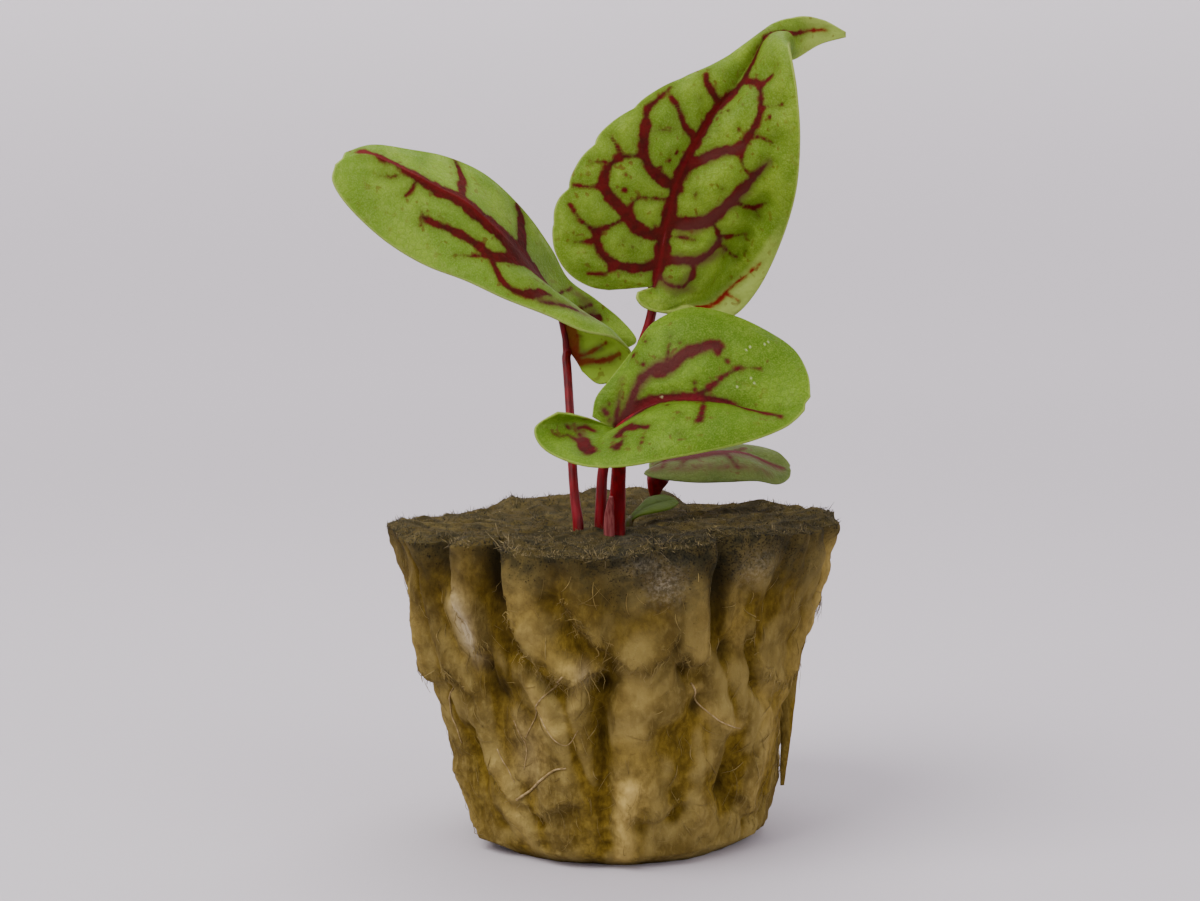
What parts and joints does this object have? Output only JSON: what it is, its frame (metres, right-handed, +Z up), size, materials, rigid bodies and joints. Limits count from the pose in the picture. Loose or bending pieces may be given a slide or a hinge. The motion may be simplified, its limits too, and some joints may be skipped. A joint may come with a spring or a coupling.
{
  "type": "potted red-veined sorrel seedling",
  "caption": "Young sorrel with red-netted green leaves on dark red stalks, standing in a tapered plug of damp stone wool.",
  "frame": {"origin": "centre of the plug's flat underside", "axes": "+Z up, -Y towards the viewer whom the largest leaves face, +X to that viewer's right"},
  "size_m": [0.0563, 0.0501, 0.0918],
  "materials": {
    "stone_wool": "damp, matted mineral fibre, olive to ochre, darker with algae under the rim",
    "veined_leaf": "soft satin leaf green with a dark red vein net",
    "young_leaf": "satin dull green flushed with red",
    "seed_leaf": "smooth dark green",
    "red_stalk": "smooth, slightly glossy crimson",
    "dry_sheath": "thin, dry and pinkish"
  },
  "bodies": {
    "root": {"stone_wool_plug": "stone_wool", "tall_leaf_blade": "veined_leaf", "tall_leaf_stalk": "red_stalk", "left_leaf_blade": "veined_leaf", "left_leaf_stalk": "red_stalk", "front_leaf_blade": "veined_leaf", "front_leaf_stalk": "red_stalk", "small_leaf_blade": "young_leaf", "small_leaf_stalk": "red_stalk", "seed_leaf_blade": "seed_leaf", "seed_leaf_stalk": "red_stalk", "papery_sheath": "dry_sheath"}
  },
  "joints": []
}
